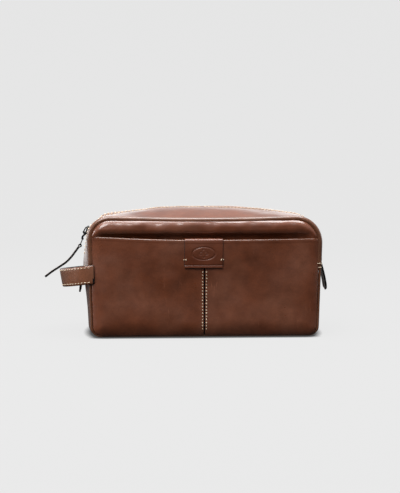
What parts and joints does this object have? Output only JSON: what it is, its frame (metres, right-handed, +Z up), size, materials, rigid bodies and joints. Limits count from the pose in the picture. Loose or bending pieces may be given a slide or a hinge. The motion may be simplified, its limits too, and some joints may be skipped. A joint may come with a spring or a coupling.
{
  "type": "shaving kit bag",
  "caption": "Brown leather wash bag for a shaving kit: domed zip top, open slip pocket on the front with a folded leather tab, rolled edge piping, a carrying loop on one end and a flat base.",
  "frame": {"origin": "centre of the resting face under the base, on the surface the bag stands on", "axes": "+Z is up; +X runs along the width, away from the end with the carrying loop; the front with the pocket faces -Y"},
  "size_m": [0.322, 0.1323, 0.1433],
  "materials": {
    "bag_leather": "glossy pull-up leather",
    "piping_leather": "glossy pull-up leather",
    "strap_leather": "satin leather with black painted edges",
    "lining_cloth": "woven lining",
    "stitch_thread": "waxed thread",
    "zip_tape": "woven tape",
    "zip_teeth": "coil zip",
    "black_metal": "black lacquer",
    "base_board": "stiff sheet"
  },
  "bodies": {
    "bag": {"back_handle_end": "strap_leather", "back_lining": "lining_cloth", "back_panel": "bag_leather", "back_piping": "piping_leather", "base_board": "base_board", "front_handle_end": "strap_leather", "front_lining": "lining_cloth", "front_panel": "bag_leather", "front_piping": "piping_leather", "left_end_back_gusset": "bag_leather", "left_end_coil": "zip_teeth", "left_end_front_gusset": "bag_leather", "left_end_lining": "lining_cloth", "left_end_seam_stitches": "stitch_thread", "left_end_tape": "zip_tape", "left_end_zip_stitches": "stitch_thread", "left_zip_stop": "black_metal", "lower_gusset": "bag_leather", "lower_lining": "lining_cloth", "pocket_left": "bag_leather", "pocket_right": "bag_leather", "pocket_seam_stitches": "stitch_thread", "pocket_tab": "bag_leather", "pocket_tab_stitches": "stitch_thread", "right_end_back_gusset": "bag_leather", "right_end_coil": "zip_teeth", "right_end_front_gusset": "bag_leather", "right_end_lining": "lining_cloth", "right_end_seam_stitches": "stitch_thread", "right_end_tape": "zip_tape", "right_end_zip_stitches": "stitch_thread", "right_zip_stop": "black_metal"},
    "front_flap": {"top_front_coil": "zip_teeth", "top_front_gusset": "bag_leather", "top_front_lining": "lining_cloth", "top_front_stitches": "stitch_thread", "top_front_tape": "zip_tape"},
    "back_flap": {"top_back_coil": "zip_teeth", "top_back_gusset": "bag_leather", "top_back_lining": "lining_cloth", "top_back_stitches": "stitch_thread", "top_back_tape": "zip_tape"},
    "slider": {"slider_body": "black_metal"},
    "pull_plate": {"pull_plate": "black_metal"},
    "pull_link": {"pull_link": "black_metal"},
    "leather_pull": {"leather_pull": "strap_leather"},
    "handle": {"handle_lining": "strap_leather", "handle_outer": "strap_leather", "handle_stitches": "stitch_thread"},
    "left_tab": {"left_end_tab": "strap_leather"},
    "right_tab": {"right_end_tab": "strap_leather"}
  },
  "joints": [
    {"name": "front_flap_hinge", "type": "hinge", "parent": "bag", "child": "front_flap", "pos_m": [0, -0.0535, 0.13], "axis": [1, 0, 0], "range_deg": [0, 85]},
    {"name": "back_flap_hinge", "type": "hinge", "parent": "bag", "child": "back_flap", "pos_m": [0, 0.0535, 0.13], "axis": [-1, 0, 0], "range_deg": [0, 85]},
    {"name": "slider_travel", "type": "hinge", "parent": "bag", "child": "slider", "pos_m": [-0.10373, 0, 0.10904], "axis": [0, 1, 0], "range_deg": [0, 58]},
    {"name": "pull_plate_hinge", "type": "hinge", "parent": "slider", "child": "pull_plate", "pos_m": [-0.1352, 0, 0.1135], "axis": [0, 1, 0], "range_deg": [0, 60]},
    {"name": "pull_link_hinge", "type": "hinge", "parent": "pull_plate", "child": "pull_link", "pos_m": [-0.1366, 0, 0.1059], "axis": [0, 1, 0], "range_deg": [0, 20]},
    {"name": "leather_pull_hinge", "type": "hinge", "parent": "pull_link", "child": "leather_pull", "pos_m": [-0.1397, 0, 0.0981], "axis": [0, 1, 0], "range_deg": [0, 75]},
    {"name": "handle_swing", "type": "hinge", "parent": "bag", "child": "handle", "pos_m": [-0.1335, 0, 0.069], "axis": [0, 1, 0], "range_deg": [-14, 0]},
    {"name": "left_tab_swing", "type": "hinge", "parent": "bag", "child": "left_tab", "pos_m": [-0.1335, 0, 0.078], "axis": [0, 1, 0], "range_deg": [0, 14]},
    {"name": "right_tab_swing", "type": "hinge", "parent": "bag", "child": "right_tab", "pos_m": [0.1335, 0, 0.078], "axis": [0, -1, 0], "range_deg": [0, 60]}
  ]
}
